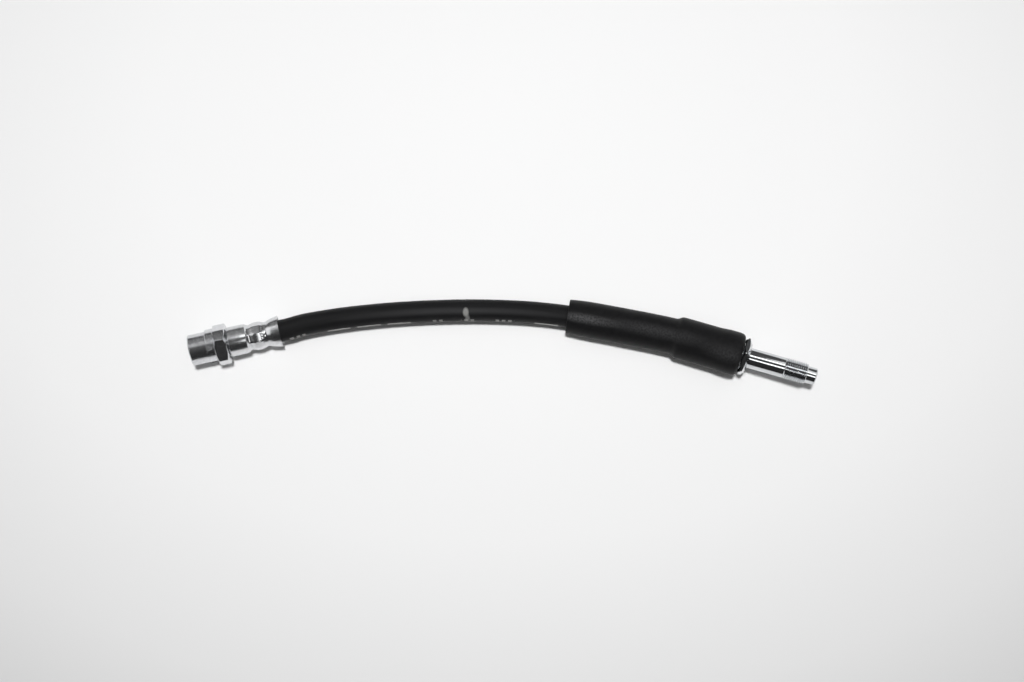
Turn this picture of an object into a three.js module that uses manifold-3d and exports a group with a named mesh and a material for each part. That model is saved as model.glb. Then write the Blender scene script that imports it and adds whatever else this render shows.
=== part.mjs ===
// A brake hose: a thick-walled rubber hose with a steel fitting crimped on each end.
// One fitting is a threaded socket, the other a long threaded plug with a rubber sleeve over its crimp.
// Millimetres. Each fitting is drawn about its own X axis, which runs from its outer end into the hose.
// X is 0 on the face of the hexagon that the crimped ferrule seats against.

import * as THREE from "three";
import { mergeVertices } from "three/addons/utils/BufferGeometryUtils.js";
import Module from "manifold-3d";

const wasm = await Module();
wasm.setup();

// Hose
const hoseRadius = 5.05;
const hoseBoreRadius = 1.6;
const fit = 0.3;

// The middle line of the hose from the mouth of one ferrule to the mouth of the other, seen from above.
const routePoints = [
  [-105.7, 4.85],
  [-101.7, 5.8],
  [-96.0, 7.6],
  [-88.0, 9.25],
  [-76.2, 11.15],
  [-61.8, 12.85],
  [-47.4, 14.0],
  [-33.0, 14.7],
  [-18.6, 14.95],
  [-4.2, 14.7],
  [10.2, 13.85],
  [24.6, 12.15],
  [39.0, 9.55],
  [53.4, 6.7],
  [62.0, 4.95],
  [70.5, 3.05],
  [77.5, 1.25],
  [81.1, 0.15],
];

// Ferrule, the same on both ends: a plain cup, a crimped crown, a tight waist and a flared mouth.
// The places of the crimping are distances from the end of the plain cup.
const ferruleLength = 23.7;
const ferruleRadius = 6.75;
const ferruleWall = 0.9;
const ferruleBaseThickness = 1.2;
const ferruleEdgeRound = 0.9;
const plainCupLength = 8.3;
const crimpRadius = 5.7;
const crownRadius = 6.35;
const waistRadius = 5.5;
const flareRadius = 7.15;
const crimpAt = 1.5;
const crownFrom = 4.0;
const crownTo = 6.6;
const waistAt = 9.1;
const crimpFlats = 10;
const flatDepth = 0.045;

// Neck and nipple, the same on both ends
const neckRadius = 4.5;
const neckLength = 1.6;
const nippleRadius = 2.0;
const nippleEnd = 20.8;
const nippleLead = 1.2;
const barbHeight = 0.25;
const barbLength = 2.4;
const barbPitch = 3.4;
const barbCount = 4;
const firstBarb = 5.0;
const passageRadius = 1.1;

// Both fittings sit turned a little about their own axes, which brings a corner of each hexagon upright.
const fittingTurn = 10;

// Socket end
const socketHexAcrossFlats = 18;
const socketHexLength = 5.6;
const socketHexFaceRadius = 8.7;
const collarRadius = 7.75;
const collarLength = 3.7;
const collarEdge = 0.3;
const barrelRadius = 7.0;
const barrelLength = 8.0;
const barrelEdge = 0.5;
const socketRadius = 4.45;
const socketDepth = 11.0;
const socketLeadIn = 0.75;
const seatAngle = 45;
const recessFrom = 26;
const recessRadius = 7.1;
const keyAngle = 17;
const keyWidth = 2.3;
const keyLength = 2.6;

// Plug end
const plugHexAcrossFlats = 16;
const plugHexLength = 3.3;
const plugHexFaceRadius = 7.2;
const shankRadius = 4.62;
const shankLength = 16.4;
const threadRadius = 5.0;
const threadLength = 10.3;
const threadEdge = 0.55;
const pointRadius = 3.82;
const pointLength = 4.6;
const pointBevelLength = 0.5;
const pointBevelDepth = 0.6;
const passageLeadIn = 0.4;

// Protective sleeve, from its open mouth to the lip against the plug's hexagon
const sleeveLength = 80.6;
const sleeveWall = 2.45;
const stretchedWall = 2.2;
const sleeveEdge = 0.45;
const sleeveSwell = 0.5;
const sleeveTaperLength = 12.0;
const sleeveStepAhead = 6.6;
const sleeveStepLength = 4.0;
const sleeveHeel = 0.35;
const sleeveHeelLength = 8.0;
const sleeveLipLength = 3.3;

// Smoothness
const fittingSides = 32;
const ferruleSides = 3 * crimpFlats;
const rubberSides = 24;
const curveSteps = 5;
const crimpSteps = 12;
const bendStep = 10.0;
const weld = 1e-4;
const settlingPasses = 8;

// Where the pieces meet
const ferruleMouth = fit + ferruleLength;
const cupEnd = fit + plainCupLength;
const hoseEnd = neckLength + fit;
const hoseGripRadius = nippleRadius + barbHeight + fit;
const ferruleHoleRadius = neckRadius + fit;
const socketFace = -(socketHexLength + collarLength + barrelLength);
const threadStart = -(plugHexLength + shankLength);
const threadEnd = threadStart - threadLength;
const plugFace = threadEnd - pointLength;
const deepInside = 0.5;
const overcut = 1.0;

const route = new THREE.CatmullRomCurve3(routePoints.map(([x, y]) => new THREE.Vector3(x, y, 0)));
const routeLength = route.getLength();
const plugStation = routeLength + ferruleMouth;

const zincPlate = { color: 0xa9abad, roughness: 0.38, metalness: 1 };
const crimpedZinc = { color: 0xc4c6c8, roughness: 0.24, metalness: 1 };
const polishedSteel = { color: 0xd2d4d6, roughness: 0.12, metalness: 1 };
const hoseRubber = { color: 0x252526, roughness: 0.62, metalness: 0 };
const sleeveRubber = { color: 0x1c1c1d, roughness: 0.7, metalness: 0 };

function mid(start, end) {
  return (start + end) / 2;
}

// A point of the middle line at a distance from the socket ferrule's mouth, straight past both mouths.
function routeAt(station) {
  const reached = THREE.MathUtils.clamp(station, 0, routeLength);
  const along = route.getTangentAt(reached / routeLength);
  const point = route.getPointAt(reached / routeLength).addScaledVector(along, station - reached);
  return { point, along };
}

// The outline of a path as [distance along the axis, radius], turned about X.
function turned(outline, sides) {
  const points = outline.map((point) => new THREE.Vector2(point.y, point.x));
  return new THREE.LatheGeometry(points, sides).rotateZ(-Math.PI / 2);
}

// Extra points on an outline, so that a long wall has enough rows to follow the bend of the hose.
function withRows(outline) {
  return outline.flatMap((point, index) => {
    const next = outline[index + 1] ?? point;
    const rows = Math.max(1, Math.ceil(Math.abs(next.x - point.x) / bendStep));
    return Array.from({ length: rows }, (_, row) => point.clone().lerp(next, row / rows));
  });
}

// A straight turned shape, carried over to the middle line of the hose.
function bent(geometry) {
  const position = geometry.attributes.position;
  for (let index = 0; index < position.count; index += 1) {
    const { point, along } = routeAt(position.getX(index));
    const aside = position.getY(index);
    position.setXYZ(index, point.x - along.y * aside, point.y + along.x * aside, position.getZ(index));
  }
  geometry.computeVertexNormals();
  return geometry;
}

// A closed geometry as a solid for cutting and joining.
function solid(geometry) {
  geometry.deleteAttribute("normal");
  geometry.deleteAttribute("uv");
  const merged = mergeVertices(geometry, weld);
  const corners = merged.index.array;
  const triangles = [];
  for (let index = 0; index < corners.length; index += 3) {
    const [a, b, c] = [corners[index], corners[index + 1], corners[index + 2]];
    if (a !== b && b !== c && c !== a) triangles.push(a, b, c);
  }
  const vertProperties = new Float32Array(merged.attributes.position.array);
  const triVerts = new Uint32Array(triangles);
  return new wasm.Manifold(new wasm.Mesh({ numProp: 3, vertProperties, triVerts }));
}

function geometryOf(body) {
  const { vertProperties, triVerts } = body.getMesh();
  const geometry = new THREE.BufferGeometry();
  geometry.setAttribute("position", new THREE.BufferAttribute(vertProperties, 3));
  geometry.setIndex(new THREE.BufferAttribute(triVerts, 1));
  const faceted = geometry.toNonIndexed();
  faceted.computeVertexNormals();
  return faceted;
}

// A hexagon with a corner upwards, whose corners are turned down on both faces to a 30 degree bevel.
function hexagon(acrossFlats, length, faceRadius) {
  const cornerRadius = acrossFlats / 2 / Math.cos(Math.PI / 6);
  const bevel = (cornerRadius - faceRadius) * Math.tan(Math.PI / 6);
  const bar = new THREE.CylinderGeometry(cornerRadius, cornerRadius, length, 6);
  bar.rotateZ(-Math.PI / 2).translate(-length / 2, 0, 0);
  const blank = new THREE.Path()
    .moveTo(-length - overcut, 0)
    .lineTo(-length - overcut, faceRadius - overcut / Math.tan(Math.PI / 6))
    .lineTo(-length + bevel, cornerRadius)
    .lineTo(-bevel, cornerRadius)
    .lineTo(overcut, faceRadius - overcut / Math.tan(Math.PI / 6))
    .lineTo(overcut, 0);
  return solid(bar).intersect(solid(turned(blank.getPoints(), fittingSides)));
}

// Ends a fitting's outline with its neck and barbed nipple, from inside the hexagon to the nipple's tip.
function addNipple(path) {
  path.lineTo(neckLength, neckRadius).lineTo(neckLength, nippleRadius);
  for (let barb = 0; barb < barbCount; barb += 1) {
    const foot = firstBarb + barb * barbPitch;
    path.lineTo(foot, nippleRadius).lineTo(foot, nippleRadius + barbHeight);
    path.lineTo(foot + barbLength, nippleRadius);
  }
  path.lineTo(nippleEnd - nippleLead, nippleRadius);
  path.lineTo(nippleEnd, (nippleRadius + passageRadius) / 2).lineTo(nippleEnd, 0);
}

// The crimped wall from the plain cup to the mouth, as [distance from the hexagon, radius].
function crimpLine() {
  const flareFrom = mid(cupEnd + waistAt, ferruleMouth) - crimpAt / 2;
  return new THREE.SplineCurve([
    new THREE.Vector2(cupEnd, ferruleRadius),
    new THREE.Vector2(cupEnd + crimpAt, crimpRadius),
    new THREE.Vector2(cupEnd + crownFrom, crownRadius),
    new THREE.Vector2(cupEnd + crownTo, crownRadius),
    new THREE.Vector2(cupEnd + waistAt, waistRadius),
    new THREE.Vector2(flareFrom, mid(waistRadius, flareRadius)),
    new THREE.Vector2(ferruleMouth, flareRadius),
  ]).getPoints(crimpSteps);
}

// The crimping dies leave flats side by side round the wall, with a ridge between each two.
function pressFlats(geometry) {
  const position = geometry.attributes.position;
  const dieAngle = (2 * Math.PI) / crimpFlats;
  for (let index = 0; index < position.count; index += 1) {
    const [x, y, z] = [position.getX(index), position.getY(index), position.getZ(index)];
    if (x < cupEnd + crimpAt / 2 || x > cupEnd + mid(crownTo, waistAt)) continue;
    const turn = Math.atan2(z, y) / dieAngle;
    const offFlat = (turn - Math.round(turn)) * dieAngle;
    const share = Math.min(1, (1 - flatDepth) / Math.cos(offFlat));
    position.setXYZ(index, x, y * share, z * share);
  }
  return geometry;
}

function ferruleGeometry() {
  const wall = crimpLine();
  const path = new THREE.Path()
    .moveTo(fit, ferruleHoleRadius)
    .lineTo(fit, ferruleRadius - ferruleEdgeRound)
    .quadraticCurveTo(fit, ferruleRadius, fit + ferruleEdgeRound, ferruleRadius);
  wall.forEach((point) => path.lineTo(point.x, point.y));
  [...wall].reverse().forEach((point) => path.lineTo(point.x, point.y - ferruleWall));
  path
    .lineTo(fit + ferruleBaseThickness, ferruleRadius - ferruleWall)
    .lineTo(fit + ferruleBaseThickness, ferruleHoleRadius)
    .lineTo(fit, ferruleHoleRadius);
  const geometry = pressFlats(turned(path.getPoints(3), ferruleSides));
  geometry.computeVertexNormals();
  return geometry;
}

// The hose has its free diameter between the ferrules and is squeezed between ferrule and nipple inside.
function hoseGeometry() {
  const squeezed = crimpLine().map((point) => [
    point.x,
    Math.min(hoseRadius, point.y * (1 - flatDepth) - ferruleWall - fit),
  ]);
  const gripEnd = nippleEnd + fit;
  const path = new THREE.Path().moveTo(hoseEnd - ferruleMouth, hoseGripRadius);
  path.lineTo(hoseEnd - ferruleMouth, hoseRadius);
  squeezed.forEach(([x, radius]) => path.lineTo(x - ferruleMouth, radius));
  [...squeezed].reverse().forEach(([x, radius]) => path.lineTo(plugStation - x, radius));
  path
    .lineTo(plugStation - hoseEnd, hoseRadius)
    .lineTo(plugStation - hoseEnd, hoseGripRadius)
    .lineTo(plugStation - gripEnd, hoseGripRadius)
    .lineTo(plugStation - gripEnd - nippleLead, hoseBoreRadius)
    .lineTo(gripEnd + nippleLead - ferruleMouth, hoseBoreRadius)
    .lineTo(gripEnd - ferruleMouth, hoseGripRadius)
    .lineTo(hoseEnd - ferruleMouth, hoseGripRadius);
  return bent(turned(withRows(path.getPoints()), rubberSides));
}

// The sleeve hugs the hose, swells a little towards the plug and is stretched over the whole ferrule.
function sleeveGeometry() {
  const end = plugStation - fit;
  const mouth = end - sleeveLength;
  const stepMiddle = routeLength - sleeveStepAhead;
  const stepStart = stepMiddle - sleeveStepLength / 2;
  const stepEnd = stepMiddle + sleeveStepLength / 2;
  const hugRadius = hoseRadius + fit;
  const stretchedRadius = flareRadius + fit;
  const mouthRadius = hugRadius + sleeveWall;
  const fullRadius = mouthRadius + sleeveSwell;
  const bulgeRadius = stretchedRadius + stretchedWall;
  const heelStart = end - sleeveLipLength - sleeveHeelLength;
  const path = new THREE.Path()
    .moveTo(mouth, hugRadius)
    .lineTo(mouth, mouthRadius - sleeveEdge)
    .quadraticCurveTo(mouth, mouthRadius, mouth + sleeveEdge, mouthRadius)
    .quadraticCurveTo(mouth + sleeveTaperLength / 2, fullRadius, mouth + sleeveTaperLength, fullRadius)
    .lineTo(stepStart, fullRadius)
    .bezierCurveTo(stepMiddle, fullRadius, stepMiddle, bulgeRadius, stepEnd, bulgeRadius)
    .lineTo(heelStart, bulgeRadius)
    .lineTo(mid(heelStart, end - sleeveLipLength), bulgeRadius + sleeveHeel)
    .lineTo(end - sleeveLipLength, bulgeRadius + sleeveHeel)
    .quadraticCurveTo(end, bulgeRadius + sleeveHeel, end, stretchedRadius + sleeveEdge)
    .lineTo(end, stretchedRadius)
    .lineTo(stepEnd, stretchedRadius)
    .lineTo(stepStart, hugRadius)
    .lineTo(mouth, hugRadius);
  return bent(turned(withRows(path.getPoints(curveSteps)), rubberSides));
}

// The socket end: barrel, keyed collar, hexagon, neck and nipple turned from one bar.
function socketBodyGeometry() {
  const collarStart = -(socketHexLength + collarLength);
  const path = new THREE.Path()
    .moveTo(socketFace, 0)
    .lineTo(socketFace, barrelRadius - barrelEdge)
    .lineTo(socketFace + barrelEdge, barrelRadius)
    .lineTo(collarStart, barrelRadius)
    .lineTo(collarStart, collarRadius - collarEdge)
    .lineTo(collarStart + collarEdge, collarRadius)
    .lineTo(-socketHexLength + deepInside, collarRadius)
    .lineTo(-socketHexLength + deepInside, neckRadius);
  addNipple(path);
  return geometryOf(
    solid(turned(path.getPoints(), fittingSides))
      .subtract(collarRecess(collarStart))
      .subtract(collarKey(collarStart))
      .add(hexagon(socketHexAcrossFlats, socketHexLength, socketHexFaceRadius))
      .subtract(socketBore()),
  );
}

// A quarter of the collar is milled back nearly to the barrel, so that a bracket can hold it from turning.
function collarRecess(collarStart) {
  const reach = collarRadius + overcut;
  const ring = new THREE.Path()
    .moveTo(collarStart - overcut, recessRadius)
    .lineTo(collarStart - overcut, reach)
    .lineTo(0, reach)
    .lineTo(0, recessRadius)
    .lineTo(collarStart - overcut, recessRadius);
  const length = 2 * Math.abs(collarStart);
  const quarter = new THREE.BoxGeometry(length + overcut, 2 * reach, 2 * reach)
    .translate(-length / 2, -reach, reach)
    .rotateX(THREE.MathUtils.degToRad(recessFrom));
  return solid(turned(ring.getPoints(), fittingSides)).intersect(solid(quarter));
}

// A short key slot with a round end, milled into the collar from its barrel side.
function collarKey(collarStart) {
  const height = collarRadius - recessRadius + overcut;
  const roundEnd = collarStart + keyLength - keyWidth / 2;
  const cutter = new THREE.CylinderGeometry(keyWidth / 2, keyWidth / 2, height, 16)
    .rotateX(Math.PI / 2)
    .translate(roundEnd, 0, recessRadius + height / 2);
  const open = new THREE.BoxGeometry(roundEnd - collarStart + overcut, keyWidth, height)
    .translate(mid(roundEnd, collarStart - overcut), 0, recessRadius + height / 2);
  const slot = solid(cutter).add(solid(open));
  return slot.rotate([keyAngle, 0, 0]);
}

// The threaded bore with its lead-in, the coned seat at its bottom and the passage through the nipple.
function socketBore() {
  const seat = socketFace + socketDepth;
  const seatLength = (socketRadius - passageRadius) / Math.tan(THREE.MathUtils.degToRad(seatAngle));
  const path = new THREE.Path()
    .moveTo(socketFace - overcut, 0)
    .lineTo(socketFace - overcut, socketRadius + socketLeadIn + overcut)
    .lineTo(socketFace + socketLeadIn, socketRadius)
    .lineTo(seat, socketRadius)
    .lineTo(seat + seatLength, passageRadius)
    .lineTo(nippleEnd + overcut, passageRadius)
    .lineTo(nippleEnd + overcut, 0);
  return solid(turned(path.getPoints(), fittingSides));
}

// The plug end: point, threaded stretch, smooth shank, hexagon, neck and nipple turned from one bar.
function plugBodyGeometry() {
  const path = new THREE.Path()
    .moveTo(plugFace, 0)
    .lineTo(plugFace, pointRadius - pointBevelDepth)
    .lineTo(plugFace + pointBevelLength, pointRadius)
    .lineTo(threadEnd, pointRadius)
    .lineTo(threadEnd, threadRadius - threadEdge)
    .lineTo(threadEnd + threadEdge, threadRadius)
    .lineTo(threadStart - threadEdge, threadRadius)
    .lineTo(threadStart, shankRadius)
    .lineTo(-plugHexLength + deepInside, shankRadius)
    .lineTo(-plugHexLength + deepInside, neckRadius);
  addNipple(path);
  const passage = new THREE.Path()
    .moveTo(plugFace - overcut, 0)
    .lineTo(plugFace - overcut, passageRadius + passageLeadIn + overcut)
    .lineTo(plugFace + passageLeadIn, passageRadius)
    .lineTo(nippleEnd + overcut, passageRadius)
    .lineTo(nippleEnd + overcut, 0);
  return geometryOf(
    solid(turned(path.getPoints(), fittingSides))
      .add(hexagon(plugHexAcrossFlats, plugHexLength, plugHexFaceRadius))
      .subtract(solid(turned(passage.getPoints(), fittingSides))),
  );
}

function piece(name, geometry, finish) {
  const mesh = new THREE.Mesh(geometry, new THREE.MeshStandardMaterial(finish));
  mesh.name = name;
  return mesh;
}

// Sets a straight piece on the middle line: its X runs into the hose from the end that it closes.
function fitted(mesh, station, inward) {
  const { point, along } = routeAt(station);
  mesh.position.copy(point);
  mesh.rotateZ(Math.atan2(along.y * inward, along.x * inward));
  return mesh.rotateX(inward * THREE.MathUtils.degToRad(fittingTurn));
}

// The corners of a mesh, in the frame of the group that holds it.
function cornersOf(mesh) {
  mesh.updateMatrix();
  const position = mesh.geometry.attributes.position;
  return Array.from({ length: position.count }, (_, index) =>
    new THREE.Vector3().fromBufferAttribute(position, index).applyMatrix4(mesh.matrix),
  );
}

// The upward direction of the floor that touches the lowest corner of each of three parts of the hose.
function restingUp(parts) {
  const up = new THREE.Vector3(0, 0, 1);
  const plane = new THREE.Plane();
  for (let pass = 0; pass < settlingPasses; pass += 1) {
    const lower = (low, corner) => (corner.dot(up) < low.dot(up) ? corner : low);
    const feet = parts.map((corners) => corners.reduce(lower));
    plane.setFromCoplanarPoints(...feet);
    up.copy(plane.normal).multiplyScalar(Math.sign(plane.normal.z));
  }
  return up;
}

const sleeve = piece("protective_sleeve", sleeveGeometry(), sleeveRubber);
const socketBody = fitted(piece("socket_end_body", socketBodyGeometry(), zincPlate), -ferruleMouth, 1);
const lying = new THREE.Group();
lying.add(
  piece("hose", hoseGeometry(), hoseRubber),
  sleeve,
  socketBody,
  fitted(piece("socket_end_ferrule", ferruleGeometry(), crimpedZinc), -ferruleMouth, 1),
  fitted(piece("plug_end_body", plugBodyGeometry(), polishedSteel), plugStation, -1),
  fitted(piece("plug_end_ferrule", ferruleGeometry(), crimpedZinc), plugStation, -1),
);

// The hose rests on a corner of the socket's hexagon, on the sleeve near its mouth and on its heel.
const sleeveMiddle = routeAt(plugStation - sleeveLength / 2).point.x;
const sleeveCorners = cornersOf(sleeve);
const floorUp = restingUp([
  cornersOf(socketBody),
  sleeveCorners.filter((corner) => corner.x < sleeveMiddle),
  sleeveCorners.filter((corner) => corner.x >= sleeveMiddle),
]);
lying.quaternion.setFromUnitVectors(floorUp, new THREE.Vector3(0, 0, 1));

// The origin is on the floor under the middle of the whole hose.
const brakeHose = new THREE.Group();
brakeHose.add(lying);
brakeHose.updateMatrixWorld(true);
const reach = new THREE.Box3().setFromObject(brakeHose, true);
const middle = reach.getCenter(new THREE.Vector3());
lying.position.set(-middle.x, -middle.y, -reach.min.z);

export default brakeHose;
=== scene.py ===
"""Brake hose on a white studio floor, seen from above.

Pieces are modelled straight and in millimetres, about the X axis. Then they are bent or laid along
the middle line of the hose and turned to metres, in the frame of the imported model.
"""

import math

import bpy
from mathutils import Matrix, Quaternion, Vector


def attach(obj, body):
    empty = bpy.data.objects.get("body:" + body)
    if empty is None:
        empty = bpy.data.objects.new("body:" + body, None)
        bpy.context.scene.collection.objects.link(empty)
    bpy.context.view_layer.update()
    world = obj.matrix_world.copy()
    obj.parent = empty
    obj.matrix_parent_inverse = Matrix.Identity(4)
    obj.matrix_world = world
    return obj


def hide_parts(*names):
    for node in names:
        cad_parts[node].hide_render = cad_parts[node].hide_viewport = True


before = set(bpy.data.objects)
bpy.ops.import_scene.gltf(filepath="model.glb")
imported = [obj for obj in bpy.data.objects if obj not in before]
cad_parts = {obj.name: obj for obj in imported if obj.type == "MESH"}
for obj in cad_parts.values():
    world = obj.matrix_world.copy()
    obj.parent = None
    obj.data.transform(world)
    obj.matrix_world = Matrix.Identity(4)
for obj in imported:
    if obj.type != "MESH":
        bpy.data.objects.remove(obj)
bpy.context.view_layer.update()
MM = 0.001

# Middle line of the hose from one ferrule's mouth to the other, flat, in mm
ROUTE = [
    (-105.7, 4.85), (-101.7, 5.8), (-96.0, 7.6), (-88.0, 9.25), (-76.2, 11.15), (-61.8, 12.85),
    (-47.4, 14.0), (-33.0, 14.7), (-18.6, 14.95), (-4.2, 14.7), (10.2, 13.85), (24.6, 12.15),
    (39.0, 9.55), (53.4, 6.7), (62.0, 4.95), (70.5, 3.05), (77.5, 1.25), (81.1, 0.15),
]
# How the flat middle line lies on the floor: its shift in mm and its small roll
SHIFT = Vector((4.6501226, 0.254854, 9.9782606))
ROLL = Quaternion((0.9967067868378764, -0.08108394586667061, 0.000987316568693258, 0.0))
FITTING_TURN = 10.0
LYING = Matrix.Scale(MM, 4) @ Matrix.Translation(SHIFT) @ ROLL.to_matrix().to_4x4()

FIT = 0.3
HOSE_RADIUS = 5.05
HOSE_BORE_RADIUS = 1.6
# How far the narrow bore runs past each ferrule's mouth, up to the nipple
BORE_PAST_MOUTH = 1.7

FERRULE_LENGTH = 23.7
FERRULE_RADIUS = 6.75
FERRULE_WALL = 0.9
FERRULE_BASE = 1.2
FERRULE_EDGE = 0.9
CUP_LENGTH = 8.3
CRIMP_RADIUS = 5.7
CROWN_RADIUS = 6.35
WAIST_RADIUS = 5.5
FLARE_RADIUS = 7.15
# Places of the crimping, in mm from the end of the plain cup
CRIMP_AT = 1.5
CROWN_FROM = 4.0
CROWN_TO = 6.6
WAIST_AT = 9.1
FLATS_FROM = 0.75
FLATS_TO = 7.85
# The flare widens halfway from the waist to the mouth, less this much
FLARE_BACK = 0.75
CRIMP_FLATS = 10
FLAT_DEPTH = 0.045
# The plain cup is drawn in a little at its end: distance back from the end, and drop in radius
CUP_DRAWN_IN = ((2.4, 0.0), (1.8, 0.015), (1.2, 0.045), (0.7, 0.08), (0.3, 0.115))

NECK_RADIUS = 4.5
NECK_LENGTH = 1.6
NIPPLE_RADIUS = 2.0
NIPPLE_END = 20.8
NIPPLE_LEAD = 1.2
NIPPLE_TIP_RADIUS = 1.55
FIRST_BARB = 5.0
BARB_COUNT = 4
BARB_PITCH = 3.4
BARB_LENGTH = 2.4
BARB_HEIGHT = 0.25
PASSAGE_RADIUS = 1.1
PASSAGE_LEAD_IN = 0.4

SOCKET_HEX = 18.0
SOCKET_HEX_LENGTH = 5.6
SOCKET_HEX_FACE = 8.7
# One corner of the hexagon is milled to a flat at this distance from the axis
MILLED_CORNER = 8.05
COLLAR_RADIUS = 7.75
COLLAR_LENGTH = 3.7
COLLAR_EDGE = 0.3
BARREL_RADIUS = 7.0
BARREL_LENGTH = 8.0
BARREL_EDGE = 0.5
SOCKET_RADIUS = 4.45
SOCKET_DEPTH = 11.0
SOCKET_LEAD_IN = 0.75
# The inside thread's grooves are cut out to this radius
SOCKET_GROOVE_RADIUS = 5.0
RECESS_FROM = 26.0
RECESS_RADIUS = 7.1
KEY_ANGLE = 17.0
KEY_WIDTH = 2.3
KEY_LENGTH = 2.6

PLUG_HEX = 16.0
PLUG_HEX_LENGTH = 3.3
PLUG_HEX_FACE = 7.2
PLUG_HEX_FRONT = 6.2
SHANK_RADIUS = 4.62
SHANK_LENGTH = 16.4
THREAD_RADIUS = 5.0
THREAD_ROOT = 4.39
THREAD_PITCH = 1.0
THREAD_LENGTH = 10.3
THREAD_EDGE = 0.55
# Half the flat on top of a thread's ridge, and how far its foot is sunk in
RIDGE_TOP = 0.06
RIDGE_SUNK = 0.1
POINT_RADIUS = 3.82
POINT_LENGTH = 4.6
POINT_BEVEL_LENGTH = 0.5
POINT_BEVEL_DEPTH = 0.6

HEX_BEVEL_SLOPE = math.tan(math.radians(30))
HEX_EDGE = 0.45
EASED_EDGE = 0.14

SLEEVE_LENGTH = 80.6
SLEEVE_WALL = 2.45
STRETCHED_WALL = 2.2
SLEEVE_EDGE = 0.45
SLEEVE_SWELL = 0.5
SLEEVE_TAPER = 12.0
STEP_AHEAD = 6.6
STEP_LENGTH = 4.0
HEEL = 0.35
HEEL_LENGTH = 8.0
LIP_LENGTH = 3.3

# Smoothness
ROUTE_STEPS = 24
CRIMP_STEPS = 6
EDGE_STEPS = 6
THREAD_STEPS = 48
HOSE_ROWS = 90
BORE_ROWS = 40
HOSE_SIDES = 64
SLEEVE_SIDES = 72
FERRULE_SIDES = 8 * CRIMP_FLATS
FITTING_SIDES = 96
PASSAGE_SIDES = 48
WELD = 1e-4
THREAD_WELD = 1e-5
SMOOTH_ANGLE = math.radians(30)
# How far a cutter reaches past a face, and how far a part's foot reaches into its neighbour
OVERCUT = 1.0
DEEP_INSIDE = 0.5

FERRULE_MOUTH = FIT + FERRULE_LENGTH
CUP_END = FIT + CUP_LENGTH
HOSE_END = NECK_LENGTH + FIT
HOSE_GRIP_RADIUS = NIPPLE_RADIUS + BARB_HEIGHT + FIT
SOCKET_FACE = -(SOCKET_HEX_LENGTH + COLLAR_LENGTH + BARREL_LENGTH)
THREAD_START = -(PLUG_HEX_LENGTH + SHANK_LENGTH)
THREAD_END = THREAD_START - THREAD_LENGTH
PLUG_FACE = THREAD_END - POINT_LENGTH


def smooth_line(points, steps):
    """A centripetal curve through points, with that many steps between each two."""
    points = [Vector(point) for point in points]
    points = [2 * points[0] - points[1], *points, 2 * points[-1] - points[-2]]
    line = []
    for p0, p1, p2, p3 in zip(points, points[1:], points[2:], points[3:]):
        d0, d1, d2 = (math.sqrt((b - a).length) for a, b in ((p0, p1), (p1, p2), (p2, p3)))
        leave = ((p1 - p0) / d0 - (p2 - p0) / (d0 + d1) + (p2 - p1) / d1) * d1
        arrive = ((p2 - p1) / d1 - (p3 - p1) / (d1 + d2) + (p3 - p2) / d2) * d1
        bend = 3 * (p2 - p1) - 2 * leave - arrive
        swing = 2 * (p1 - p2) + leave + arrive
        for step in range(steps):
            t = step / steps
            line.append(p1 + leave * t + bend * t * t + swing * t ** 3)
    return [*line, points[-2]]


MIDDLE = smooth_line(ROUTE, ROUTE_STEPS)
REACHED = [0.0]
for here, there in zip(MIDDLE, MIDDLE[1:]):
    REACHED.append(REACHED[-1] + (there - here).length)
ROUTE_LENGTH = REACHED[-1]
PLUG_STATION = ROUTE_LENGTH + FERRULE_MOUTH


def route_at(station):
    """Point and direction of the middle line, which runs on straight past both mouths."""
    inside = min(max(station, 0.0), ROUTE_LENGTH)
    index = next(i for i in range(1, len(REACHED)) if REACHED[i] >= inside)
    along = (MIDDLE[index] - MIDDLE[index - 1]).normalized()
    return MIDDLE[index - 1] + along * (inside - REACHED[index - 1] + station - inside), along


# Camera, above and a little in front
CAMERA_TILT = math.radians(10)
CAMERA_DISTANCE = 0.6466
AIM = Vector((0.00465, 0.00025, 0.0104))
camera_data = bpy.data.cameras.new("camera")
camera = bpy.data.objects.new("camera", camera_data)
bpy.context.scene.collection.objects.link(camera)
camera_data.lens = 50.0
camera_data.sensor_width = 36.0
camera_data.clip_start = 0.01
camera.rotation_euler = (CAMERA_TILT, 0, 0)
camera.location = AIM + CAMERA_DISTANCE * Vector((0, -math.sin(CAMERA_TILT), math.cos(CAMERA_TILT)))
bpy.context.scene.camera = camera
bpy.context.scene.view_settings.view_transform = "Standard"


def linear(code):
    """An sRGB hex colour as linear red, green, blue and alpha."""
    channels = [int(code[i:i + 2], 16) / 255 for i in (1, 3, 5)]
    return (*[c / 12.92 if c <= 0.04045 else ((c + 0.055) / 1.055) ** 2.4 for c in channels], 1.0)


def add(tree, kind, inputs=None, stops=(), **settings):
    """Adds a node. An input, by name or number, is a value or another node's output.

    Inputs 1 to 4 of a map range are the range that it takes and the range that it gives. Stops
    are the places and colours of a ramp: its two ends, then those between them in rising order.
    """
    node = tree.nodes.new(kind)
    for name, value in settings.items():
        setattr(node, name, value)
    for key, value in (inputs or {}).items():
        if isinstance(value, bpy.types.NodeSocket):
            tree.links.new(value, node.inputs[key])
        else:
            node.inputs[key].default_value = value
    for number, (place, code) in enumerate(stops):
        if number >= 2:
            node.color_ramp.elements.new(1.0)
        node.color_ramp.elements[number].position = place
        node.color_ramp.elements[number].color = linear(code)
    return node


def new_material(name):
    """A new material with its node tree and its shader."""
    material = bpy.data.materials.new(name)
    material.use_nodes = True
    tree = material.node_tree
    shader = next(n for n in tree.nodes if n.type == "BSDF_PRINCIPLED")
    return material, tree, shader


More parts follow.
